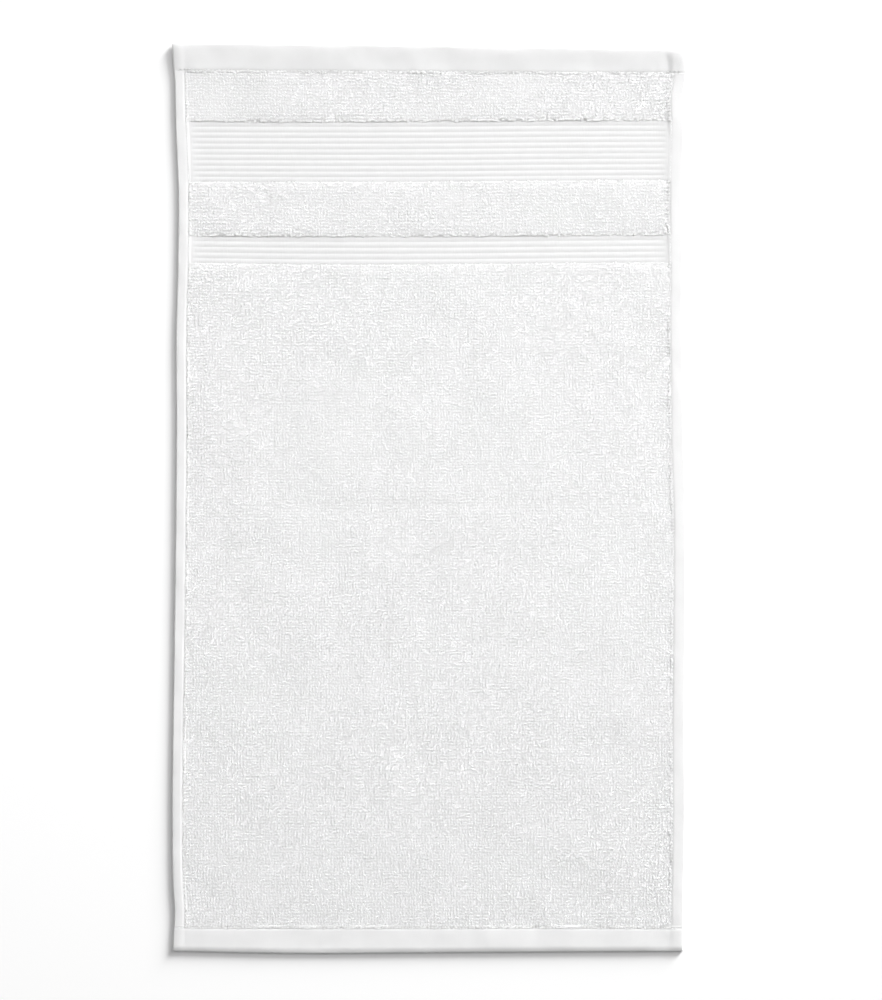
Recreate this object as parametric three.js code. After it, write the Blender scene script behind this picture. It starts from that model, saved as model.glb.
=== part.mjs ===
// White cotton terry towel lying flat, face up: one cloth with folded hems and two woven rib borders.
// Millimetres, +Z up. X runs across the width and Y along the length, with the ribbed end at +Y.

import * as THREE from 'three';

// Size of the cloth
const towelWidth = 500;
const towelLength = 891;

// Heights over the surface that it lies on
const pileHeight = 4.7; // ground weave with the pile of both faces
const borderHeight = 1.9; // rib borders, woven without pile
const ribRise = 0.9;
const hemHeight = 3.1; // three layers of flat cloth
const hemFoldHeight = 1.4; // widest point of the round folded edge
const hemFoldReach = 1.3; // how far in the fold has risen to full height
const seam = { inset: 2, reach: 1.6, dip: 0.7 }; // sewing of a hem, in from the hem's inner edge
const ridge = { inset: 5, reach: 2.2, rise: 0.4 }; // soft ridge of a side hem beside its sewing
const cornerRise = 0.8; // the side hems lie inside the end hems at the corners
const footInset = 0.9; // how far the flat underside stays inside the edge

// Widths of the hems and of the strips beside them, measured from the edge inwards
const leftHem = 12.5;
const rightHem = 14.5;
const pileStep = 3; // the pile rises to full height this far from a seam
const pileFoot = 0.3; // share of that rise which stands straight up at the seam
const ribFade = 9; // the ribs rise out of the side seams over this distance

// Spacing of the grid that carries the surface
const fieldStep = 15;
const footEvery = 6; // one point of the underside's rim for this many of the edge

// Bands from the ribbed end to the plain end. Each row gives its depth along the length, and how far
// its upper line strays towards +Y at five places across the width. The main field of pile takes the
// length that is left over.
const wideRibs = { count: 11, pitch: 5.45 };
const narrowRibs = { count: 5, pitch: 5.72 };
const ribShoulders = [0.24, 0.76]; // flat top of a rib, as shares of its pitch
const bands = [
  { kind: 'hem', depth: 27.6, left: 1.5, midLeft: 0.7, centre: -1.0, midRight: -2.5, right: -5.2 },
  { kind: 'pile', depth: 47.4, left: 0.3, midLeft: -0.2, centre: -0.8, midRight: -1.4, right: -2.0 },
  { kind: 'ribs', ribs: wideRibs, left: 0, midLeft: -0.2, centre: 0, midRight: 1.0, right: 1.2 },
  { kind: 'pile', depth: 52.8, left: 0, midLeft: -0.4, centre: -0.2, midRight: 0.9, right: 1.6 },
  { kind: 'ribs', ribs: narrowRibs, left: 0.7, midLeft: 0, centre: 0, midRight: 0.9, right: 1.7 },
  { kind: 'pile', takesRest: true, left: 1.9, midLeft: 0, centre: 0, midRight: 1.2, right: 2.4 },
  { kind: 'hem', depth: 26.3, left: 0.2, midLeft: 0, centre: 0, midRight: 0, right: -0.5 },
  { kind: 'end', depth: 0, left: 1.5, midLeft: -0.8, centre: 0, midRight: 0.8, right: 1.4 },
];

// How far each side edge strays outwards, by its place along the length
const leftEdge = [
  { y: 446, out: 3.6 },
  { y: 425, out: 2.4 },
  { y: 412, out: 1.3 },
  { y: 382, out: 0.7 },
  { y: 352, out: -0.5 },
  { y: 310, out: -2.2 },
  { y: 220, out: -1.7 },
  { y: 160, out: -0.1 },
  { y: 87, out: -0.5 },
  { y: 0, out: 0 },
  { y: -90, out: 1.0 },
  { y: -192, out: 2.4 },
  { y: -237, out: 3.1 },
  { y: -320, out: 3.8 },
  { y: -384, out: 2.7 },
  { y: -404, out: 1.4 },
  { y: -428, out: 2.5 },
  { y: -445, out: 3.3 },
];
const rightEdge = [
  { y: 440, out: -2.2 },
  { y: 425, out: 1.5 },
  { y: 411, out: 0.5 },
  { y: 396, out: -2.4 },
  { y: 366, out: -1.5 },
  { y: 322, out: -2.5 },
  { y: 278, out: -3.4 },
  { y: 248, out: -2.5 },
  { y: 183, out: -2.9 },
  { y: 106, out: -2.0 },
  { y: 57, out: -1.5 },
  { y: 0, out: 0.4 },
  { y: -104, out: 0.5 },
  { y: -198, out: -0.5 },
  { y: -335, out: -0.5 },
  { y: -384, out: -1.5 },
  { y: -445, out: -2.0 },
];

// Creases left by folding and handling: a soft trough or ridge from one point to another
const creases = [
  { name: 'middle fold', x1: -138, y1: -7, x2: 232, y2: -5, reach: 9, rise: -0.5 },
  { name: 'long fold', x1: -54, y1: 214, x2: -45, y2: -180, reach: 10, rise: -0.35 },
  { name: 'short trough', x1: -148, y1: 155, x2: -80, y2: 128, reach: 13, rise: -0.4 },
  { name: 'upper right trough', x1: 176, y1: 105, x2: 196, y2: 62, reach: 12, rise: -0.4 },
  { name: 'lower ridge', x1: -46, y1: -206, x2: -32, y2: -278, reach: 13, rise: 0.45 },
  { name: 'lower right ridge', x1: 104, y1: -335, x2: 172, y2: -356, reach: 14, rise: 0.5 },
  { name: 'lower right trough', x1: 98, y1: -372, x2: 140, y2: -388, reach: 12, rise: -0.45 },
  { name: 'corner pull', x1: 222, y1: -372, x2: 236, y2: -412, reach: 7, rise: 0.4 },
];

// Broad swells of the pile, each a wave across the cloth
const swells = [
  { heading: 24, wavelength: 92, rise: 0.14, shift: 0.3 },
  { heading: 71, wavelength: 67, rise: 0.13, shift: 1.9 },
  { heading: 118, wavelength: 113, rise: 0.15, shift: 4.0 },
  { heading: 160, wavelength: 58, rise: 0.1, shift: 2.6 },
];

// A small dent where the end hem was caught at the ribbed end's right corner
const cornerDent = { x: 234, y: 428, reach: 7, rise: -0.8 };

function curveThrough(rows, place, value) {
  const sorted = [...rows].sort((a, b) => a[place] - b[place]);
  const places = sorted.map((row) => row[place]);
  const values = sorted.map((row) => row[value]);
  const curve = new THREE.CubicInterpolant(places, values, 1, new Float64Array(1));
  const clamp = (at) => THREE.MathUtils.clamp(at, places[0], places.at(-1));
  return (at) => curve.evaluate(clamp(at))[0];
}

const leftStray = curveThrough(leftEdge, 'y', 'out');
const rightStray = curveThrough(rightEdge, 'y', 'out');

// Weft lines, the upper line of each band, as a curve over X
const lineNames = ['left', 'midLeft', 'centre', 'midRight', 'right'];
for (const band of bands.filter((each) => each.ribs)) {
  band.depth = band.ribs.count * band.ribs.pitch;
}
const woven = bands.reduce((sum, band) => sum + (band.depth ?? 0), 0);
bands.find((band) => band.takesRest).depth = towelLength - woven;
let lineY = towelLength / 2;
for (const band of bands) {
  const straightY = lineY;
  const strays = lineNames.map((name, i) => ({ x: (i / 4 - 0.5) * towelWidth, out: band[name] }));
  const stray = curveThrough(strays, 'x', 'out');
  band.lineAt = (x) => straightY + stray(x);
  lineY -= band.depth;
}

function riseOfCrease(crease, x, y) {
  const start = new THREE.Vector3(crease.x1, crease.y1, 0);
  const end = new THREE.Vector3(crease.x2, crease.y2, 0);
  const point = new THREE.Vector3(x, y, 0);
  const nearest = new THREE.Line3(start, end).closestPointToPoint(point, true, new THREE.Vector3());
  const away = nearest.distanceTo(point) / crease.reach;
  return crease.rise * Math.exp(-away * away);
}

function riseOfSwell(swell, x, y) {
  const heading = THREE.MathUtils.degToRad(swell.heading);
  const along = x * Math.cos(heading) + y * Math.sin(heading);
  return swell.rise * Math.sin((2 * Math.PI * along) / swell.wavelength + swell.shift);
}

function pileAt(x, y) {
  const folded = creases.reduce((sum, crease) => sum + riseOfCrease(crease, x, y), 0);
  return swells.reduce((sum, swell) => sum + riseOfSwell(swell, x, y), pileHeight + folded);
}

// Rib section: flat-topped ribs that rise out of the side seams, with a narrow valley between them
function ribsAt(isValley, fromSeam) {
  const risen = THREE.MathUtils.smoothstep(fromSeam, 0, ribFade);
  return borderHeight + (isValley ? 0 : ribRise * risen);
}

// Hem section: round fold at the edge, flat cloth, and a dip at the sewing
function hemAt(fromEdge, width, ridgeRise) {
  const fold = THREE.MathUtils.smoothstep(fromEdge, 0, hemFoldReach);
  const fromInner = width - fromEdge;
  const atSeam = Math.exp(-(((fromInner - seam.inset) / seam.reach) ** 2));
  const atRidge = Math.exp(-(((fromInner - ridge.inset) / ridge.reach) ** 2));
  const flat = THREE.MathUtils.lerp(hemFoldHeight, hemHeight, fold);
  return flat - seam.dip * atSeam + ridgeRise * atRidge;
}

function dentAt(x, y) {
  const away = Math.hypot(x - cornerDent.x, y - cornerDent.y) / cornerDent.reach;
  return cornerDent.rise * Math.exp(-away * away);
}

function heightAt(column, row, x, y) {
  const inSideHem = column.fromSeam <= 0;
  const side = hemAt(column.fromEdge, column.hem, ridge.rise);
  if (row.kind === 'hem') {
    const end = hemAt(row.fromEnd, row.depth, 0);
    const fold = THREE.MathUtils.smoothstep(Math.min(column.fromEdge, row.fromEnd), 0, hemFoldReach);
    return inSideHem ? Math.min(side, end) + cornerRise * fold + dentAt(x, y) : end + dentAt(x, y);
  }
  if (inSideHem) {
    return side;
  }
  if (row.kind === 'ribs') {
    return ribsAt(row.isValley, column.fromSeam);
  }
  const risen = Math.min(column.fromSeam, row.fromBand) / pileStep;
  const share = THREE.MathUtils.smoothstep(THREE.MathUtils.lerp(pileFoot, 1, risen), 0, 1);
  return THREE.MathUtils.lerp(borderHeight, pileAt(x, y), share);
}

// Columns of the grid, from the left edge to the right
function sideColumns(hem) {
  const fromEdges = [0, hemFoldReach, hem / 2, hem - ridge.inset, hem - seam.inset, hem];
  const fromSeams = [pileStep, ribFade];
  return [...fromEdges, ...fromSeams.map((reach) => hem + reach)];
}

const columns = [];
for (const fromEdge of sideColumns(leftHem)) {
  columns.push({ across: fromEdge, fromEdge, fromSeam: fromEdge - leftHem, hem: leftHem });
}
const fieldFrom = leftHem + ribFade;
const fieldTo = towelWidth - rightHem - ribFade;
const fieldColumns = Math.round((fieldTo - fieldFrom) / fieldStep);
for (let i = 1; i < fieldColumns; i += 1) {
  const across = THREE.MathUtils.lerp(fieldFrom, fieldTo, i / fieldColumns);
  const fromEdge = Math.min(across, towelWidth - across);
  const hem = across < towelWidth / 2 ? leftHem : rightHem;
  columns.push({ across, fromEdge, fromSeam: fromEdge - hem, hem });
}
for (const fromEdge of sideColumns(rightHem).reverse()) {
  columns.push({ across: towelWidth - fromEdge, fromEdge, fromSeam: fromEdge - rightHem, hem: rightHem });
}

// Rows of the grid inside a band, as distances from its upper line
function hemPlaces(depth, isFirst) {
  const fromEnds = [0, hemFoldReach, depth / 2, depth - ridge.inset, depth - seam.inset];
  return isFirst ? fromEnds : fromEnds.map((fromEnd) => depth - fromEnd).reverse();
}

function ribPlaces({ count, pitch }) {
  const section = [0, ...ribShoulders];
  return Array.from({ length: count }, (_, rib) => section.map((at) => (rib + at) * pitch)).flat();
}

function pilePlaces(depth) {
  const inner = depth - 2 * pileStep;
  const steps = Math.round(inner / fieldStep);
  const inside = Array.from({ length: steps + 1 }, (_, i) => pileStep + (inner * i) / steps);
  return [0, ...inside];
}

const rows = [];
bands.slice(0, -1).forEach((band, i) => {
  const places = {
    hem: () => hemPlaces(band.depth, i === 0),
    ribs: () => ribPlaces(band.ribs),
    pile: () => pilePlaces(band.depth),
  }[band.kind]();
  places.forEach((place, j) => {
    const share = place / band.depth;
    rows.push({
      kind: band.kind,
      depth: band.depth,
      fromEnd: i === 0 ? place : band.depth - place,
      fromBand: Math.min(place, band.depth - place),
      isValley: j % (ribShoulders.length + 1) === 0,
      lineAt: (x) => THREE.MathUtils.lerp(band.lineAt(x), bands[i + 1].lineAt(x), share),
    });
  });
});
const plainEnd = bands.at(-1);
rows.push({ ...rows.at(-1), fromEnd: 0, fromBand: 0, lineAt: plainEnd.lineAt });

// Upper surface: a grid of points that follows the uneven edges and weft lines
const points = [];
for (const row of rows) {
  for (const column of columns) {
    const straightX = column.across - towelWidth / 2;
    const share = column.across / towelWidth;
    const y = row.lineAt(straightX);
    const x = straightX - leftStray(y) * (1 - share) + rightStray(y) * share;
    points.push(new THREE.Vector3(x, y, heightAt(column, row, x, y)));
  }
}

const pointIndex = (row, column) => row * columns.length + column;
const lastRow = rows.length - 1;
const lastColumn = columns.length - 1;
const triangles = [];
for (let row = 0; row < lastRow; row += 1) {
  for (let column = 0; column < lastColumn; column += 1) {
    const a = pointIndex(row, column);
    const b = pointIndex(row + 1, column);
    const c = pointIndex(row + 1, column + 1);
    const d = pointIndex(row, column + 1);
    if ((row + column) % 2) {
      triangles.push([a, b, c], [a, c, d]);
    } else {
      triangles.push([a, b, d], [b, c, d]);
    }
  }
}

// Edge of the surface, anticlockwise from above, with the way inwards at each point
const rim = [];
for (let column = 0; column < lastColumn; column += 1) {
  rim.push({ point: pointIndex(lastRow, column), inX: column ? 0 : 1, inY: 1, isCorner: !column });
}
for (let row = lastRow; row > 0; row -= 1) {
  const isCorner = row === lastRow;
  rim.push({ point: pointIndex(row, lastColumn), inX: -1, inY: isCorner ? 1 : 0, isCorner });
}
for (let column = lastColumn; column > 0; column -= 1) {
  const isCorner = column === lastColumn;
  rim.push({ point: pointIndex(0, column), inX: isCorner ? -1 : 0, inY: -1, isCorner });
}
for (let row = 0; row < lastRow; row += 1) {
  rim.push({ point: pointIndex(row, 0), inX: 1, inY: row ? 0 : -1, isCorner: !row });
}

// Flat underside: fewer points than the edge above it, each a little inside the edge
const feet = [];
rim.forEach((place, i) => {
  if (place.isCorner || i % footEvery === 0) {
    const { x, y } = points[place.point];
    feet.push({ under: i, point: points.length });
    points.push(new THREE.Vector3(x + place.inX * footInset, y + place.inY * footInset, 0));
  }
});

// Narrow wall between the edge and the underside
const rimPoint = (i) => rim[i % rim.length].point;
feet.forEach((foot, i) => {
  const next = feet[(i + 1) % feet.length];
  const nextUnder = i + 1 < feet.length ? next.under : rim.length;
  const middle = Math.floor((foot.under + nextUnder) / 2);
  for (let k = foot.under; k < nextUnder; k += 1) {
    triangles.push([k < middle ? foot.point : next.point, rimPoint(k + 1), rimPoint(k)]);
  }
  triangles.push([foot.point, next.point, rimPoint(middle)]);
});

const underside = feet.map((foot) => new THREE.Vector2(points[foot.point].x, points[foot.point].y));
for (const [a, b, c] of THREE.ShapeUtils.triangulateShape(underside, [])) {
  triangles.push([feet[a].point, feet[c].point, feet[b].point]);
}

const cloth = new THREE.BufferGeometry().setFromPoints(points);
cloth.setIndex(triangles.flat());
cloth.computeBoundingBox();
const middle = cloth.boundingBox.getCenter(new THREE.Vector3());
cloth.translate(-middle.x, -middle.y, 0);
cloth.computeVertexNormals();

const whiteCotton = new THREE.MeshStandardMaterial({ color: 0xf1f1f0, roughness: 0.95, metalness: 0 });
const towel = new THREE.Mesh(cloth, whiteCotton);
towel.name = 'towel';

const group = new THREE.Group();
group.add(towel);

export default group;
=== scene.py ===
import math

import bmesh
import bpy
import numpy as np
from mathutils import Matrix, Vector, noise


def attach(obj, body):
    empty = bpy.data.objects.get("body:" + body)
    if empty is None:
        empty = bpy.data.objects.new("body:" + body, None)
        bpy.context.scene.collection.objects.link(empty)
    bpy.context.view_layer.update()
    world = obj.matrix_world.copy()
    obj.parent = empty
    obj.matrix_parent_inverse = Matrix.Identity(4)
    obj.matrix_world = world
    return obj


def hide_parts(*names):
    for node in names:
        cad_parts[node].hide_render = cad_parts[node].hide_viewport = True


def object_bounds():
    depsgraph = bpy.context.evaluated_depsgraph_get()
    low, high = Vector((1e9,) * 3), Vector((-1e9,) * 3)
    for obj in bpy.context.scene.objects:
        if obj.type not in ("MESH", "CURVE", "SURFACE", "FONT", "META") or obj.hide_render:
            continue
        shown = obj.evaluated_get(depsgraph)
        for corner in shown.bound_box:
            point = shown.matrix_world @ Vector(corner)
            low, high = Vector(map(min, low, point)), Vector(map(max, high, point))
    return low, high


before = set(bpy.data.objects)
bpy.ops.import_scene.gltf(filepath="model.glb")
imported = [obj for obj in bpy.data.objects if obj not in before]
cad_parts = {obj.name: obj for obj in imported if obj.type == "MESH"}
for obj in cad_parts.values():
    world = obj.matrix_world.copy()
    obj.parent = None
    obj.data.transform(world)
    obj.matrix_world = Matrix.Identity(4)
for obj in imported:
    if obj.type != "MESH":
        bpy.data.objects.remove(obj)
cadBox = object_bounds()

# White cotton terry towel, lying flat with its ribbed end at +Y. The cloth is worked out in
# millimetres: u runs across it from the left edge, v along it from the ribbed end.
mm = 0.001

plan = {
    "width": 500.0,
    "length": 891.0,
    "leftHem": 12.5,
    "rightHem": 14.5,
    "ribbedHem": 27.6,
    "topPile": 47.4,
    "wideRibs": 11,
    "wideRibPitch": 5.45,
    "middlePile": 52.8,
    "narrowRibs": 5,
    "narrowRibPitch": 5.72,
    "plainHem": 26.3,
}

# How far the side edges stray outwards, by y
leftEdge = [
    (-445, 3.3), (-428, 2.5), (-404, 1.4), (-384, 2.7), (-320, 3.8), (-237, 3.1), (-192, 2.4),
    (-90, 1.0), (0, 0), (87, -0.5), (160, -0.1), (220, -1.7), (310, -2.2), (352, -0.5),
    (382, 0.7), (412, 1.3), (425, 2.4), (446, 3.6),
]
rightEdge = [
    (-445, -2.0), (-384, -1.5), (-335, -0.5), (-198, -0.5), (-104, 0.5), (0, 0.4), (57, -1.5),
    (106, -2.0), (183, -2.9), (248, -2.5), (278, -3.4), (322, -2.5), (366, -1.5), (396, -2.4),
    (411, 0.5), (425, 1.5), (440, -2.2),
]

# How far the weft lines stray towards +Y at five places across, from the ribbed end to the plain
weftLines = [
    (1.5, 0.7, -1.0, -2.5, -5.2),
    (0.3, -0.2, -0.8, -1.4, -2.0),
    (0, -0.2, 0, 1.0, 1.2),
    (0, -0.4, -0.2, 0.9, 1.6),
    (0.7, 0, 0, 0.9, 1.7),
    (1.9, 0, 0, 1.2, 2.4),
    (0.2, 0, 0, 0, -0.5),
    (1.5, -0.8, 0, 0.8, 1.4),
]


def curveThrough(pairs):
    # smooth curve through pairs of place and value, level past its ends
    places, values = np.array(pairs, float).T
    slopes = np.gradient(values, places)

    def at(x):
        x = np.clip(x, places[0], places[-1])
        i = np.clip(np.searchsorted(places, x) - 1, 0, len(places) - 2)
        step = places[i + 1] - places[i]
        t = (x - places[i]) / step
        ends = values[i] * (1 + 2 * t) * (1 - t) ** 2 + values[i + 1] * t * t * (3 - 2 * t)
        return ends + step * (slopes[i] * t * (1 - t) ** 2 + slopes[i + 1] * t * t * (t - 1))

    return at


# Seven bands from the ribbed end: hem, pile, ribs, pile, ribs, pile, hem
wideBorder = plan["wideRibs"] * plan["wideRibPitch"]
narrowBorder = plan["narrowRibs"] * plan["narrowRibPitch"]
shortBands = [
    plan["ribbedHem"], plan["topPile"], wideBorder, plan["middlePile"], narrowBorder,
    plan["plainHem"],
]
mainPile = plan["length"] - sum(shortBands)
bandDepths = np.array(shortBands[:5] + [mainPile, plan["plainHem"]])
bandStarts = np.concatenate([[0], np.cumsum(bandDepths)])
bandIsRibbed = np.array([False, False, True, False, True, False, False])
bandRibPitch = np.array([1, 1, plan["wideRibPitch"], 1, plan["narrowRibPitch"], 1, 1])
pileBands = [1, 3, 5]
hemBands = [0, 6]

leftStray = curveThrough(leftEdge)
rightStray = curveThrough(rightEdge)
acrossPlaces = np.linspace(-0.5, 0.5, 5) * plan["width"]
lineStrays = [curveThrough(list(zip(acrossPlaces, line))) for line in weftLines]


def bandOf(v):
    return np.clip(np.searchsorted(bandStarts, v, side="right") - 1, 0, len(bandDepths) - 1)


def laidPlace(u, v):
    # where a point of the cloth lies, with its uneven edges and weft lines
    straightX = u - plan["width"] / 2
    strays = np.array([stray(straightX) for stray in lineStrays])
    band = bandOf(v)
    share = (v - bandStarts[band]) / bandDepths[band]
    each = np.arange(len(u))
    y = plan["length"] / 2 - v + strays[band, each] * (1 - share) + strays[band + 1, each] * share
    across = u / plan["width"]
    x = straightX - leftStray(y) * (1 - across) + rightStray(y) * across
    return x, y


# Heights of the lying cloth, in millimetres over the floor
relief = {
    "pileGround": 3.5,
    "border": 2.6,
    "ribRise": 0.45,
    "hem": 3.5,
    "hemLift": 0.25,
    "foldHeight": 1.3,  # widest point of a folded edge
    "fold": (0.8, 0.5),  # rounding of a folded edge, above and below
    "plainEndFold": (1.4, 0.7),
    "edgeShare": 0.02,  # keeps the two sides apart at the very edge
    "ribbedEndLift": 1.2,  # how far the outer edge of that hem stands off the floor
    "sideSeam": (0.22, 0.15),  # dip along the sewing and the ridge outside it
    "endSeam": (0.20, 0.05),
    "seamInset": 2.0,
    "seamWidth": 1.2,
    "seamBelow": 0.3,  # share of the dip that shows below
    "seamFade": (9.0, 0.6),  # reach over which a side seam fades, and its share inside the end hem
    "ridgeInset": 5.0,
    "ridgeWidth": 2.2,
    "cornerRise": 0.25,
    "cornerReach": 6.0,
    "hemWaves": (30, 0.3),  # size and height of the soft unevenness of the hems
    "puckers": (9, 0.12),  # ripples beside the sewing
    "evenRim": 3.0,  # both grow from the edge to here
    "ribStep": (0.6, 8.0),  # how high the pile starts beside the ribs, and how far in it is full
    "hemStep": (0.9, 6.0),
    "ribFade": 9.0,  # the ribs rise out of the side seams over this distance
    "ribRound": 0.8,  # under 1 the ribs are fuller than a wave
    "ribEndRise": 0.7,  # share of the way up to the hem that their ground rises there
    "ribsBelow": (1.3, 0.9),  # lift under a valley, and how much less under a rib, as shares
    "ribFluff": 0.5,  # how far the ribs' shading is evened out
    "lumps": [(26, 0.05), (11, 0.05)],  # size and height of the uneven pile
    "undersideLift": 0.45,
    "undersideLumps": 6.0,
}

# Creases: x and y of both ends, how wide, and how high
creases = [
    (-138, -7, 232, -5, 7, -0.22),  # middle fold
    (-54, 214, -45, -180, 8, -0.16),  # long fold
    (-148, 155, -80, 128, 13, -0.2),
    (176, 105, 196, 62, 12, -0.2),
    (-46, -206, -32, -278, 13, 0.22),
    (104, -335, 172, -356, 14, 0.25),
    (98, -372, 140, -388, 12, -0.22),
    (222, -372, 236, -412, 7, 0.3),  # pull towards the corner
]

# Broad swells: heading in degrees, wavelength, height, shift
swells = [(24, 92, 0.09, 0.3), (71, 67, 0.08, 1.9), (118, 113, 0.10, 4.0), (160, 58, 0.06, 2.6)]

# Caught corner of the ribbed hem: a sharp little fold beside a dent
cornerFold = [(232, 418, 232, 430, 4.0, -0.6), (238, 417, 238, 430, 3.0, 0.25)]


def smoothly(t):
    t = np.clip(t, 0, 1)
    return t * t * (3 - 2 * t)


def creaseRise(x, y, rows):
    rise = np.zeros(len(x))
    for x1, y1, x2, y2, reach, height in rows:
        run = np.array([x2 - x1, y2 - y1])
        t = np.clip(((x - x1) * run[0] + (y - y1) * run[1]) / (run @ run), 0, 1)
        away = np.hypot(x - x1 - t * run[0], y - y1 - t * run[1]) / reach
        rise += height * np.exp(-away * away)
    return rise


def swellRise(x, y):
    rise = np.zeros(len(x))
    for heading, wavelength, height, shift in swells:
        along = x * math.cos(math.radians(heading)) + y * math.sin(math.radians(heading))
        rise += height * np.sin(2 * math.pi * along / wavelength + shift)
    return rise


noiseGain = 1.6  # brings the noise to about -1 to 1

# Each use of the noise reads its own layer of it
noiseLayers = {
    "patch": 1.0,
    "lumps": 3.0,
    "ripples": 5.0,
    "underside": 8.0,
    "lean": (20.0, 30.0),
    "clump": 40.0,
    "waver": (50.0, 60.0),
    "ragged": (70.0, 80.0),
}


def grain(x, y, size, layer):
    # smooth unevenness between about -1 and 1, with lumps of the given size
    values = [noise.noise(Vector((a / size, b / size, layer))) for a, b in zip(x, y)]
    return np.array(values) * noiseGain


def hemSection(fromEdge, width, fold, seam, fade):
    # upper and lower side of a hem, from its round folded edge to its inner edge
    inwards = [1 - np.clip(fromEdge / reach, 0, 1) for reach in fold]
    roundAbove, roundBelow = (np.sqrt(np.clip(1 - t ** 2, relief["edgeShare"], 1)) for t in inwards)
    low = relief["foldHeight"]
    fromInner = width - fromEdge
    dip, ridge = seam
    sewn = np.exp(-((fromInner - relief["seamInset"]) / relief["seamWidth"]) ** 2) * fade
    puffed = np.exp(-((fromInner - relief["ridgeInset"]) / relief["ridgeWidth"]) ** 2) * fade
    upper = low + (relief["hem"] - low) * roundAbove - dip * sewn + ridge * puffed
    lower = low - low * roundBelow + relief["seamBelow"] * dip * sewn
    return upper + relief["hemLift"], lower + relief["hemLift"] * smoothly(1 - fromEdge / width)


def clothHeights(u, v, x, y):
    # upper and lower side of the cloth, without its loops
    isRight = u > plan["width"] / 2
    isPlainEnd = v > plan["length"] / 2
    sideHem = np.where(isRight, plan["rightHem"], plan["leftHem"])
    endHem = np.where(isPlainEnd, plan["plainHem"], plan["ribbedHem"])
    fromSide = np.where(isRight, plan["width"] - u, u)
    fromEnd = np.where(isPlainEnd, plan["length"] - v, v)
    inSide = fromSide < sideHem
    inEnd = fromEnd < endHem
    band = bandOf(v)
    inBand = v - bandStarts[band]
    fromHem = np.minimum(fromSide - sideHem, fromEnd - endHem)
    # the first and the last band of pile have ribs on one side only
    farAway = plan["length"]
    fromRibs = np.minimum(
        np.where(band == pileBands[0], farAway, inBand),
        np.where(band == pileBands[-1], farAway, bandDepths[band] - inBand),
    )

    lumps = sum(height * grain(x, y, size, noiseLayers["lumps"]) for size, height in relief["lumps"])
    pile = relief["pileGround"] + creaseRise(x, y, creases) + swellRise(x, y) + lumps
    rise = np.ones(len(u))
    for away, (start, reach) in ((fromRibs, relief["ribStep"]), (fromHem, relief["hemStep"])):
        rise = np.minimum(rise, smoothly(start + (1 - start) * away / reach))
    pile = relief["border"] + (pile - relief["border"]) * rise
    underside = grain(x, y, relief["undersideLumps"], noiseLayers["underside"])
    pileUnder = relief["undersideLift"] * (0.5 + 0.5 * underside).clip(0, 1)

    ribShape = np.sin(math.pi * (inBand / bandRibPitch[band] % 1)) ** relief["ribRound"]
    ribShape *= smoothly((fromSide - sideHem) / relief["ribFade"])
    beside = smoothly(1 - (fromSide - sideHem) / relief["ribFade"])
    endRise = relief["ribEndRise"] * (relief["hem"] - relief["border"])
    ribs = relief["border"] + relief["ribRise"] * ribShape + endRise * beside
    hollow, filled = relief["ribsBelow"]
    ribsUnder = relief["undersideLift"] * (hollow - filled * ribShape)

    ripples = (relief["puckers"], relief["hemWaves"])
    ripple = sum(height * grain(x, y, size, noiseLayers["ripples"]) for size, height in ripples)
    seamReach, seamStart = relief["seamFade"]
    sewn = smoothly((fromEnd - endHem) / seamReach + seamStart)
    sideUpper, sideLower = hemSection(fromSide, sideHem, relief["fold"], relief["sideSeam"], sewn)
    folds = zip(relief["plainEndFold"], relief["fold"])
    endFold = [np.where(isPlainEnd, plain, ribbed) for plain, ribbed in folds]
    endUpper, endLower = hemSection(fromEnd, endHem, endFold, relief["endSeam"], 1.0)
    curl = np.where(isPlainEnd, 0, relief["ribbedEndLift"]) * smoothly(1.0 - fromEnd / endHem)
    curl = np.where(inEnd, curl, 0)
    settled = smoothly(np.minimum(fromSide, fromEnd) / relief["evenRim"])
    uneven = ripple * settled + creaseRise(x, y, cornerFold) * settled
    inCorner = smoothly((sideHem - fromSide) / relief["cornerReach"])
    doubled = np.minimum(sideUpper, endUpper) + relief["cornerRise"] * settled * inCorner

    upper = np.where(bandIsRibbed[band], ribs, pile)
    upper = np.where(inEnd, endUpper + uneven, upper)
    upper = np.where(inSide, sideUpper + uneven, upper)
    upper = np.where(inSide & inEnd, doubled + uneven, upper) + curl
    lower = np.where(bandIsRibbed[band], ribsUnder, pileUnder)
    lower = np.where(inEnd, endLower, lower)
    lower = np.where(inSide, sideLower, lower)
    lower = np.where(inSide & inEnd, np.maximum(sideLower, endLower), lower) + curl
    return upper, lower


# The cloth's grid: how closely its columns and rows lie
clothMesh = {
    "step": 4.7,
    "fold": [0, 0.06, 0.25, 0.6, 1.2],  # distances from a folded edge
    "seam": [0, 0.6, 1.3, 2.0, 2.7, 3.6, 5.0],  # distances from a hem's inner edge, both ways
    "bandEdge": [0, 0.6, 1.4, 2.4, 3.6],
    "rib": [0, 0.09, 0.2, 0.35, 0.5, 0.65, 0.8, 0.91],  # shares of a rib's pitch
}


def evenSteps(start, end):
    count = max(round((end - start) / clothMesh["step"]), 1)
    return list(np.linspace(start, end, count + 1))


def hemStations(width):
    inner = [width - reach for reach in reversed(clothMesh["seam"])]
    between = evenSteps(clothMesh["fold"][-1], inner[0])
    return clothMesh["fold"] + between[1:-1] + inner


def acrossStations():
    left = hemStations(plan["leftHem"])
    right = [plan["width"] - u for u in reversed(hemStations(plan["rightHem"]))]
    fine = clothMesh["seam"][1:]
    fromLeft = [left[-1] + reach for reach in fine]
    toRight = [right[0] - reach for reach in reversed(fine)]
    return left + fromLeft + evenSteps(fromLeft[-1], toRight[0])[1:-1] + toRight + right


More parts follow.
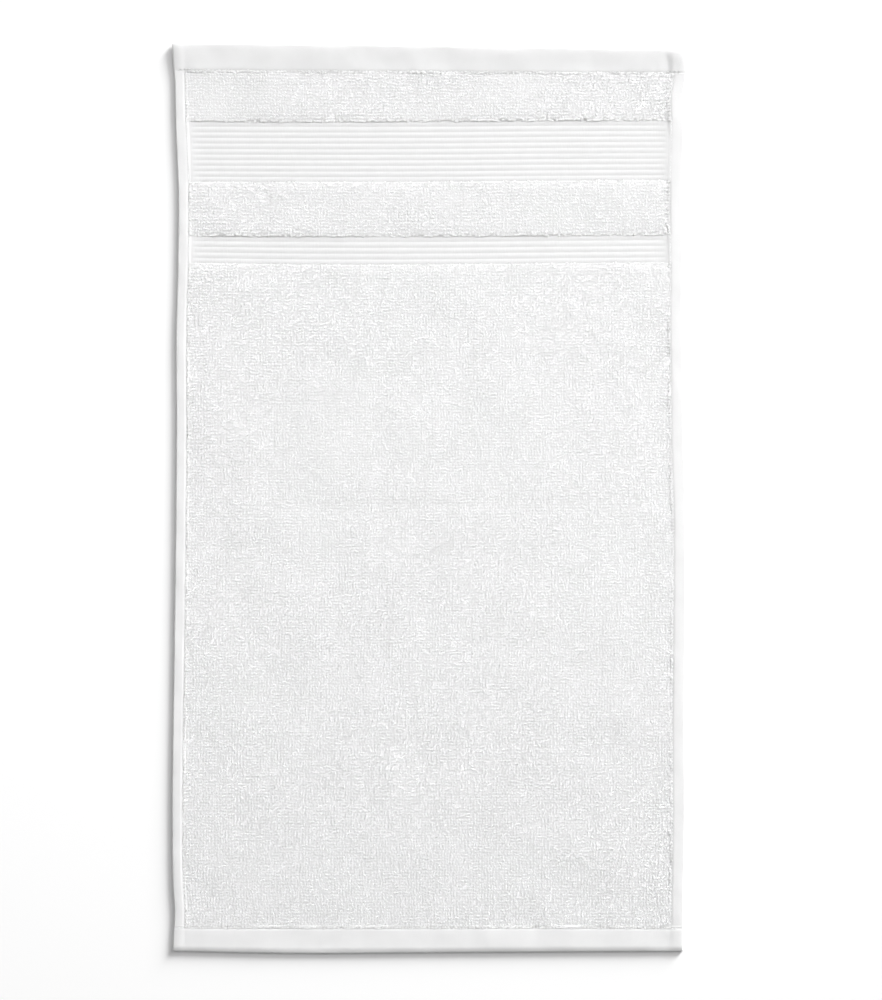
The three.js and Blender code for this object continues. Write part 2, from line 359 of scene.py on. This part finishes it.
def alongStations():
    rows = hemStations(plan["ribbedHem"])[:-1]
    for band in range(1, 6):
        start, end = bandStarts[band], bandStarts[band + 1]
        if bandIsRibbed[band]:
            pitch = bandRibPitch[band]
            for rib in range(round((end - start) / pitch)):
                rows += [start + (rib + share) * pitch for share in clothMesh["rib"]]
        else:
            edge = clothMesh["bandEdge"]
            rows += [start + reach for reach in edge]
            rows += evenSteps(start + edge[-1], end - edge[-1])[1:-1]
            rows += [end - reach for reach in reversed(edge[1:])]
    return rows + [plan["length"] - v for v in reversed(hemStations(plan["plainHem"]))]


clothCottons = ["cotton pile ground", "cotton rib weave", "cotton hem weave"]


def sortFaces(bm):
    # the extrusion leaves its sides in an order of chance; sorted, the mesh is the same every time
    bm.verts.index_update()

    def place(face):
        corners = [vert.index for vert in face.verts]
        return min(corners) * len(bm.verts) + max(corners)

    bm.faces.sort(key=place)


def makeCloth():
    columns, rows = np.array(acrossStations()), np.array(alongStations())
    bm = bmesh.new()
    bmesh.ops.create_grid(bm, x_segments=len(columns) - 1, y_segments=len(rows) - 1, size=0.5)
    raised = bmesh.ops.extrude_face_region(bm, geom=bm.faces[:], use_keep_orig=True)["geom"]
    isUpper = {part for part in raised if isinstance(part, bmesh.types.BMVert)}

    flat = np.array([vert.co[:2] for vert in bm.verts]) + 0.5
    u = columns[np.rint(flat[:, 0] * (len(columns) - 1)).astype(int)]
    v = rows[np.rint((1 - flat[:, 1]) * (len(rows) - 1)).astype(int)]
    x, y = laidPlace(u, v)
    upper, lower = clothHeights(u, v, x, y)
    centre = ((x.min() + x.max()) / 2, (y.min() + y.max()) / 2)
    for i, vert in enumerate(bm.verts):
        height = upper[i] if vert in isUpper else lower[i]
        vert.co = Vector((x[i] - centre[0], y[i] - centre[1], height)) * mm

    # material by place: pile ground, rib border or hem
    sortFaces(bm)
    for face in bm.faces:
        corners = [vert.index for vert in face.verts]
        faceU, faceV = u[corners].mean(), v[corners].mean()
        band = int(bandOf(np.array([faceV]))[0])
        cotton = "cotton rib weave" if bandIsRibbed[band] else "cotton pile ground"
        inSide = faceU < plan["leftHem"] or faceU > plan["width"] - plan["rightHem"]
        if inSide or band in hemBands:
            cotton = "cotton hem weave"
        face.material_index = clothCottons.index(cotton)
        face.smooth = True
    mesh = bpy.data.meshes.new("terry_cloth")
    bm.to_mesh(mesh)
    bm.free()
    fluffUp(mesh, np.where(bandIsRibbed[bandOf(v)], relief["ribFluff"], 0))
    return mesh, centre


lookingDown = -0.3  # normals with less of +Z than this are bent downwards


def fluffUp(mesh, share):
    # loose fibres stand out all over the yarn, so it shades more evenly than its shape
    normals = np.empty(len(mesh.vertices) * 3)
    mesh.vertices.foreach_get("normal", normals)
    normals = normals.reshape(-1, 3)
    upright = np.array([0, 0, 1.0]) * np.where(normals[:, 2:] < lookingDown, -1, 1)
    share = np.broadcast_to(share, len(normals))[:, None]
    normals = normals * (1 - share) + upright * share
    normals /= np.linalg.norm(normals, axis=1, keepdims=True)
    mesh.normals_split_custom_set_from_vertices(normals)


def addPiece(mesh, materials):
    piece = bpy.data.objects.new(mesh.name, mesh)
    bpy.context.scene.collection.objects.link(piece)
    for material in materials:
        mesh.materials.append(material)
    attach(piece, "root")
    return piece


# Shares of the map: its side in widths of the cloth, and where the two plans start
planMap = {
    "side": 2.04,
    "upStart": 0.005,
    "downStart": 0.505,
    "foot": 0.01,
}


def mapFromAbove(mesh):
    # one plan map, with the faces that look down laid beside those that look up
    low, high = (np.array(corner[:2]) for corner in cadBox)
    side = planMap["side"] * (high - low)[0]
    corner = np.empty(len(mesh.loops), int)
    mesh.loops.foreach_get("vertex_index", corner)
    places = np.empty(len(mesh.vertices) * 3)
    mesh.vertices.foreach_get("co", places)
    flat = (places.reshape(-1, 3)[:, :2] - low)[corner] / side
    starts = np.empty(len(mesh.polygons), int)
    totals = np.empty(len(mesh.polygons), int)
    normals = np.empty(len(mesh.polygons) * 3)
    mesh.polygons.foreach_get("loop_start", starts)
    mesh.polygons.foreach_get("loop_total", totals)
    mesh.polygons.foreach_get("normal", normals)
    down = np.repeat(normals.reshape(-1, 3)[:, 2] < 0, totals)
    flat[:, 0] += np.where(down, planMap["downStart"], planMap["upStart"])
    flat[:, 1] += planMap["foot"]
    uv = mesh.uv_layers.new(name="OFBake")
    uv.data.foreach_set("uv", flat.ravel())


# Loops of the pile: short arches of soft yarn in rows, every loop lying over towards its neighbour
loops = {
    "pitch": (2.75, 2.85),  # across and along the cloth
    "jitter": 0.6,
    "waver": (7.0, 0.8),  # size and reach of the drift of the rows
    "length": (3.6, 4.8),
    "rise": (0.23, 0.33),  # top of a loop over the ground
    "footDepth": 0.25,  # its ends lie this far under the ground
    "topShare": 0.22,  # half its flat top, as a share of its length
    "tilt": 0.07,  # either end of its top may stand this much higher
    "spin": 0.5,  # how far the yarn may be rolled, in radians
    "halfWidth": (1.15, 1.5),
    "halfHeight": (0.12, 0.15),
    # the pile is coarser towards the upper right: reach in x and in y, start and span
    "coarse": (250.0, 445.0, 0.3, 1.6),
    "clump": 6.0,  # size of the clumps of raised loops
    "clumpRise": (0.03, 0.06),  # height of the clumps everywhere, and more where it is coarse
    "lean": 0.4,
    "leanSize": 1.4,  # size of the places that lean alike, in clumps
    "evenLean": 0.5,  # share of the lean that isn't up to the coarseness
    "patch": 13.0,  # size of the patches in which the rows turn
    "patchEdge": 4.0,  # how sharply these patches part
    "rowsAcross": (0.1, 0.6),  # how far rows across the cloth prevail, and more so at the ribbed end
    "unruly": 0.45,
    "overSeam": 1.4,  # how far the pile reaches over the end seams
    "overSide": 0.8,
    "fromRibs": 0.6,
    "stray": (2.0, 0.4),  # how far a loop may drift out of its field, across and along
    "fluff": 0.9,  # how far the loops' shading is evened out
    "ragged": [(14.0, 9.0), (5.0, 4.0)],  # size and reach of the borders between the pieces
    "pieces": ["pile_ribbed_end", "pile_upper", "pile_lower", "pile_plain_end"],
}


def yarnBits(points, halfWidth, halfHeight, spin):
    # closed three-sided bits of yarn, pointed at both ends, each through its four points; they are
    # worked out all at once, because there are tens of thousands of them
    starts, firsts, seconds, ends = points
    count = len(starts)
    run = ends - starts
    run /= np.linalg.norm(run, axis=1, keepdims=True)
    side = np.cross(run, [0, 0, 1.0])
    side /= np.linalg.norm(side, axis=1, keepdims=True)
    up = np.cross(side, run)
    places = [starts]
    for middle in (firsts, seconds):
        for third in range(3):
            angle = spin + math.pi / 2 + third * 2 * math.pi / 3
            sideways, upwards = np.cos(angle) * halfWidth, np.sin(angle) * halfHeight
            places.append(middle + (sideways[:, None] * side + upwards[:, None] * up))
    places.append(ends)
    verts = np.stack(places, axis=1).reshape(-1, 3)
    fans = [(0, 1, 2), (0, 2, 3), (0, 3, 1), (7, 5, 4), (7, 6, 5), (7, 4, 6)]
    walls = [(1, 5, 2), (1, 4, 5), (2, 6, 3), (2, 5, 6), (3, 4, 1), (3, 6, 4)]
    faces = (np.arange(count)[:, None, None] * 8 + np.array(fans + walls)[None]).reshape(-1, 3)
    return verts, faces


def meshOfBits(name, verts, faces):
    mesh = bpy.data.meshes.new(name)
    mesh.vertices.add(len(verts))
    mesh.vertices.foreach_set("co", (verts * mm).ravel())
    mesh.loops.add(faces.size)
    mesh.loops.foreach_set("vertex_index", faces.ravel())
    mesh.polygons.add(len(faces))
    mesh.polygons.foreach_set("loop_start", np.arange(len(faces)) * 3)
    mesh.polygons.foreach_set("loop_total", np.full(len(faces), 3))
    mesh.polygons.foreach_set("use_smooth", np.ones(len(faces), bool))
    mesh.update(calc_edges=True)
    mesh.validate()
    return mesh


def loopGrid(random):
    # one row of loops after another over the three bands of pile
    places = []
    across, along = loops["pitch"]
    left, right = plan["leftHem"], plan["width"] - plan["rightHem"]
    us = np.linspace(left - loops["overSide"], right + loops["overSide"], round((right - left) / across))
    for band in pileBands:
        top, bottom = bandStarts[band], bandStarts[band + 1]
        top += -loops["overSeam"] if band == pileBands[0] else loops["fromRibs"]
        bottom -= -loops["overSeam"] if band == pileBands[-1] else loops["fromRibs"]
        vs = np.linspace(top, bottom, round((bottom - top) / along))
        places += [np.stack([us, np.full(len(us), v)], axis=1) for v in vs]
    places = np.concatenate(places)
    size, reach = loops["waver"]
    drift = [grain(places[:, 0], places[:, 1], size, layer) for layer in noiseLayers["waver"]]
    places += np.stack(drift, axis=1) * reach + random.uniform(-1, 1, places.shape) * loops["jitter"]
    strayU, strayV = loops["stray"]
    band = bandOf(places[:, 1])
    u = places[:, 0].clip(left - strayU, right + strayU)
    return u, places[:, 1].clip(bandStarts[band] - strayV, bandStarts[band + 1] + strayV)


def makePile(centre):
    random = np.random.RandomState(11)
    u, v = loopGrid(random)
    x, y = laidPlace(u, v)
    ground, _ = clothHeights(u, v, x, y)
    count = len(u)
    reachX, reachY, start, span = loops["coarse"]
    coarse = smoothly((x / reachX + y / reachY + start) / span)

    # rows across the cloth and in patches along it, more of these towards the plain end
    prevail, atRibbedEnd = loops["rowsAcross"]
    patch = grain(x, y, loops["patch"], noiseLayers["patch"]) - prevail - atRibbedEnd * y / plan["length"]
    turned = smoothly(0.5 + loops["patchEdge"] * patch) * math.pi / 2
    turn = turned + random.normal(0, loops["unruly"], count)
    heading = np.stack([np.cos(turn), np.sin(turn), np.zeros(count)], axis=1)
    clump = grain(x, y, loops["clump"], noiseLayers["clump"])
    size = loops["clump"] * loops["leanSize"]
    lean = [grain(x, y, size, layer) for layer in noiseLayers["lean"]]
    lean = np.stack([*lean, np.zeros(count)], axis=1)
    lean *= loops["lean"] * (loops["evenLean"] + coarse)[:, None]

    length = random.uniform(*loops["length"], count)[:, None]
    halfWidth = random.uniform(*loops["halfWidth"], count)
    halfHeight = random.uniform(*loops["halfHeight"], count)
    everywhere, whereCoarse = loops["clumpRise"]
    rise = random.uniform(*loops["rise"], count) + (everywhere + whereCoarse * coarse) * clump
    foot = np.stack([x, y, ground - loops["footDepth"]], axis=1)
    top = np.stack([x, y, ground + rise - halfHeight], axis=1) + lean
    tilt = random.uniform(-loops["tilt"], loops["tilt"], count)[:, None] * np.array([0, 0, 1.0])
    points = [
        foot - heading * length * 0.5,
        top - heading * length * loops["topShare"] - tilt,
        top + heading * length * loops["topShare"] + tilt,
        foot + heading * length * 0.5,
    ]
    spin = random.uniform(-loops["spin"], loops["spin"], count)
    verts, faces = yarnBits(points, halfWidth, halfHeight, spin)
    verts[:, :2] -= centre

    # four pieces from end to end, with ragged borders that don't show
    raggedV = v
    for (size, reach), layer in zip(loops["ragged"], noiseLayers["ragged"]):
        raggedV = raggedV + reach * grain(x, y, size, layer)
    order = np.argsort(raggedV, kind="stable")
    verts, pattern = verts.reshape(count, 8, 3), faces[:12]
    meshes = []
    for name, members in zip(loops["pieces"], np.array_split(order, len(loops["pieces"]))):
        bitFaces = (np.arange(len(members))[:, None, None] * 8 + pattern[None]).reshape(-1, 3)
        meshes.append(meshOfBits(name, verts[members].reshape(-1, 3), bitFaces))
        fluffUp(meshes[-1], loops["fluff"])
    print("pile:", count, "loops,", count * 12, "triangles")
    return meshes


# Sewing: lockstitches beside the inner edge of each hem, and a few back-stitches at the corners
sewing = {
    "stitch": 2.6,
    "gap": 0.7,
    "thread": 0.24,  # radius
    "lift": 0.12,  # its middle lies this far over the cloth
    "endDepth": 0.3,  # the ends of a stitch go this far into the cloth
    "topShare": 0.22,  # share of its length over which each end comes up
    "wander": 0.15,
    "endRun": (4.0, 6.0),  # where an end seam starts and stops, in from the left and the right edge
    "leftBack": [(6.0, 1.6), (22.0, 1.2)],  # back-stitches: in from the edge, and outside the seam
    "rightBack": [(20.0, 1.4), (5.0, 1.8)],
}


def seamRuns():
    # start and end of each run of stitches, as places on the cloth
    inset = relief["seamInset"]
    left = plan["leftHem"] - inset
    right = plan["width"] - plan["rightHem"] + inset
    upper = plan["ribbedHem"] - inset
    lower = plan["length"] - plan["plainHem"] + inset
    sideStart, sideEnd = plan["ribbedHem"], plan["length"] - plan["plainHem"]
    endStart, endEnd = sewing["endRun"][0], plan["width"] - sewing["endRun"][1]
    return [
        [(left, sideStart), (left, sideEnd)],
        [(right, sideStart), (right, sideEnd)],
        [(endStart, upper), (endEnd, upper)],
        [(endStart, lower), (endEnd, lower)],
        [(fromEdge, upper - outside) for fromEdge, outside in sewing["leftBack"]],
        [(plan["width"] - fromEdge, upper - outside) for fromEdge, outside in sewing["rightBack"]],
    ]


def makeStitches(centre):
    random = np.random.RandomState(5)
    firsts, lasts = [], []
    for start, end in seamRuns():
        start, end = np.array(start), np.array(end)
        run = np.linalg.norm(end - start)
        count = int(run / (sewing["stitch"] + sewing["gap"]))
        for i in range(count):
            firsts.append(start + (end - start) * i / count)
            lasts.append(firsts[-1] + (end - start) / run * sewing["stitch"])
    firsts, lasts = np.array(firsts), np.array(lasts)
    lasts[:, 0] += random.uniform(-sewing["wander"], sewing["wander"], len(lasts))

    def onCloth(places, lift):
        x, y = laidPlace(places[:, 0], places[:, 1])
        upper, _ = clothHeights(places[:, 0], places[:, 1], x, y)
        return np.stack([x - centre[0], y - centre[1], upper + lift], axis=1)

    radius = np.full(len(firsts), sewing["thread"])
    near, far = sewing["topShare"], 1 - sewing["topShare"]
    points = [
        onCloth(firsts, -sewing["endDepth"]),
        onCloth(firsts * far + lasts * near, sewing["lift"]),
        onCloth(firsts * near + lasts * far, sewing["lift"]),
        onCloth(lasts, -sewing["endDepth"]),
    ]
    verts, faces = yarnBits(points, radius, radius, np.zeros(len(firsts)))
    print("sewing:", len(firsts), "stitches")
    return meshOfBits("hem_stitches", verts, faces)


# Materials, all of them bleached cotton
def linearColour(code):
    parts = [int(code[i:i + 2], 16) / 255 for i in (1, 3, 5)]
    return [p / 12.92 if p <= 0.04045 else ((p + 0.055) / 1.055) ** 2.4 for p in parts] + [1.0]


def addNode(tree, kind, inputs, **settings):
    node = tree.nodes.new(kind)
    for name, value in settings.items():
        setattr(node, name, value)
    for name, value in inputs.items():
        if isinstance(value, bpy.types.NodeSocket):
            tree.links.new(value, node.inputs[name])
        else:
            node.inputs[name].default_value = value
    return node


def cottonMaterial(name, look):
    material = bpy.data.materials.new(name)
    material.use_nodes = True
    tree = material.node_tree
    tree.nodes.clear()
    place = addNode(tree, "ShaderNodeTexCoord", {}).outputs["Object"]
    blotch = addNode(
        tree, "ShaderNodeTexNoise",
        {"Vector": place, "Scale": 1 / (look["blotch"] * mm), "Detail": 2.0, "Roughness": 0.5},
    )
    shade, white = linearColour(look["shade"]), linearColour(look["white"])
    tint = addNode(
        tree, "ShaderNodeMix",
        {"Factor": blotch.outputs["Fac"], "A": shade, "B": white},
        data_type="RGBA",
    )
    stretched = addNode(tree, "ShaderNodeMapping", {"Vector": place, "Scale": look["grain"]})
    yarn = addNode(
        tree, "ShaderNodeTexNoise",
        {"Vector": stretched.outputs["Vector"], "Scale": 1 / mm, "Detail": 2.0, "Roughness": 0.55},
    )
    bump = addNode(
        tree, "ShaderNodeBump",
        {"Height": yarn.outputs["Fac"], "Strength": look["bump"], "Distance": look["depth"] * mm},
    )
    shader = addNode(
        tree, "ShaderNodeBsdfPrincipled",
        {
            "Base Color": tint.outputs["Result"],
            "Roughness": look["roughness"],
            "Diffuse Roughness": 1.0,
            "Specular IOR Level": 0.25,
            "Subsurface Weight": look["soft"],
            "Subsurface Radius": (1.0, 1.0, 1.0),
            "Subsurface Scale": look["softReach"] * mm,
            "Sheen Weight": look["sheen"],
            "Sheen Roughness": 0.5,
            "Normal": bump.outputs["Normal"],
        },
        subsurface_method="BURLEY",
    )
    addNode(tree, "ShaderNodeOutputMaterial", {"Surface": shader.outputs["BSDF"]})
    return material


# Sizes are in millimetres, and grain is the number of lumps to a millimetre along x, y and z.
# Fibres and fine threads are drawn coarser than the real ones, so that they show.
looks = {
    # looped ring-spun yarn: soft and matt, no shine; fibres half a millimetre apart; painted lighter than
    # the woven hems and ribs, as painted light on the tips that makes up for the shade among the loops
    "cotton pile loops": {
        "white": "#f7f7f7", "shade": "#f4f4f4", "blotch": 6.0,
        "grain": (2.0, 2.0, 2.0), "bump": 0.8, "depth": 0.22,
        "roughness": 0.95, "sheen": 0.0, "soft": 1.0, "softReach": 2.4,
    },
    # the ground weave under the loops, where their shade falls: painted a little darker than the loops as
    # painted shade, yet lighter than the woven hems and ribs as painted light that eases the shade in the
    # gaps
    "cotton pile ground": {
        "white": "#f4f4f4", "shade": "#f0f0f0", "blotch": 3.0,
        "grain": (0.7, 0.7, 0.7), "bump": 0.3, "depth": 0.3,
        "roughness": 0.95, "sheen": 0.0, "soft": 1.0, "softReach": 2.0,
    },
    # ribs of packed weft over warp ends: smoother than the pile, ticked every 2 mm by the warp
    "cotton rib weave": {
        "white": "#e6e6e6", "shade": "#e1e1e1", "blotch": 9.0,
        "grain": (0.55, 0.12, 0.3), "bump": 0.5, "depth": 0.2,
        "roughness": 0.85, "sheen": 0.1, "soft": 1.0, "softReach": 3.0,
    },
    # plain weave of the hems: flat and close, with a weft thread every 0.55 mm
    "cotton hem weave": {
        "white": "#ececec", "shade": "#e7e7e7", "blotch": 14.0,
        "grain": (0.7, 1.8, 0.5), "bump": 0.35, "depth": 0.15,
        "roughness": 0.85, "sheen": 0.1, "soft": 1.0, "softReach": 1.5,
    },
    # polyester-cotton sewing thread, a little brighter than the cloth
    "sewing thread": {
        "white": "#f6f6f6", "shade": "#f0f0f0", "blotch": 5.0,
        "grain": (1.0, 1.0, 1.0), "bump": 0.2, "depth": 0.1,
        "roughness": 0.7, "sheen": 0.0, "soft": 0.0, "softReach": 1.0,
    },
}
cottons = {name: cottonMaterial(name, look) for name, look in looks.items()}

clothMeshData, clothCentre = makeCloth()
cloth = addPiece(clothMeshData, [cottons[name] for name in clothCottons])
mapFromAbove(cloth.data)
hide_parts("towel")
print("cloth:", len(cloth.data.polygons) * 2, "triangles")

pile = [addPiece(mesh, [cottons["cotton pile loops"]]) for mesh in makePile(clothCentre)]
stitches = addPiece(makeStitches(clothCentre), [cottons["sewing thread"]])
for piece in pile + [stitches]:
    mapFromAbove(piece.data)

# Studio: a near-white floor, a broad low light from the upper right, and a soft light over each side
studio = {
    "floor": "#fdfdfd",
    "floorSize": 6.0,
    # angles in degrees, watts on each square metre of floor, and metres, which don't change a sun
    "key": {"heading": 49.0, "height": 16.0, "spread": 24.0, "strength": 1.78, "away": 4},
    "fills": {"places": [(0.7, 0.35, 1.2), (-0.7, 0.35, 1.2)], "size": 0.6, "powers": [5.6, 2.5]},
    "world": ("#ffffff", 0.23),
}


def makeFloor():
    bm = bmesh.new()
    bmesh.ops.create_grid(bm, x_segments=1, y_segments=1, size=studio["floorSize"] / 2)
    mesh = bpy.data.meshes.new("floor")
    bm.to_mesh(mesh)
    bm.free()
    floor = bpy.data.objects.new("floor", mesh)
    bpy.context.scene.collection.objects.link(floor)
    material = bpy.data.materials.new("matt white studio floor")
    material.use_nodes = True
    shader = material.node_tree.nodes["Principled BSDF"]
    shader.inputs["Base Color"].default_value = linearColour(studio["floor"])
    shader.inputs["Roughness"].default_value = 1.0
    shader.inputs["Specular IOR Level"].default_value = 0.0
    mesh.materials.append(material)


def addLamp(name, kind, place, settings):
    light = bpy.data.lights.new(name, kind)
    for setting, value in settings.items():
        setattr(light, setting, value)
    lamp = bpy.data.objects.new(name, light)
    lamp.location = place
    lamp.rotation_mode = "QUATERNION"
    lamp.rotation_quaternion = (-Vector(place)).to_track_quat("-Z", "Y")
    bpy.context.scene.collection.objects.link(lamp)


makeFloor()
key, fills = studio["key"], studio["fills"]
heading, height = math.radians(key["heading"]), math.radians(key["height"])
level = math.cos(height)
towardsKey = Vector((math.cos(heading) * level, math.sin(heading) * level, math.sin(height)))
keyLight = {"energy": key["strength"] / math.sin(height), "angle": math.radians(key["spread"])}
addLamp("key", "SUN", towardsKey * key["away"], keyLight)
for place, power in zip(fills["places"], fills["powers"]):
    addLamp("fill", "AREA", place, {"energy": power, "size": fills["size"]})
world = bpy.data.worlds.new("studio")
world.use_nodes = True
background = world.node_tree.nodes["Background"]
background.inputs["Color"].default_value = linearColour(studio["world"][0])
background.inputs["Strength"].default_value = studio["world"][1]
bpy.context.scene.world = world
bpy.context.scene.view_settings.view_transform = "Standard"
print("studio ready")

# Camera straight above, with the towel a little left of the middle of the frame
shot = {
    "lens": 85.0,
    "sensor": 36.0,
    "tall": 0.981,  # metres of floor from the top to the bottom of the frame
    "place": (0.0113, -0.0015),
}
cameraData = bpy.data.cameras.new("camera")
cameraData.lens = shot["lens"]
cameraData.sensor_width = shot["sensor"]
camera = bpy.data.objects.new("camera", cameraData)
cameraHeight = shot["tall"] * shot["lens"] / shot["sensor"] + relief["hem"] * mm
camera.location = (*shot["place"], cameraHeight)
bpy.context.scene.collection.objects.link(camera)
bpy.context.scene.camera = camera
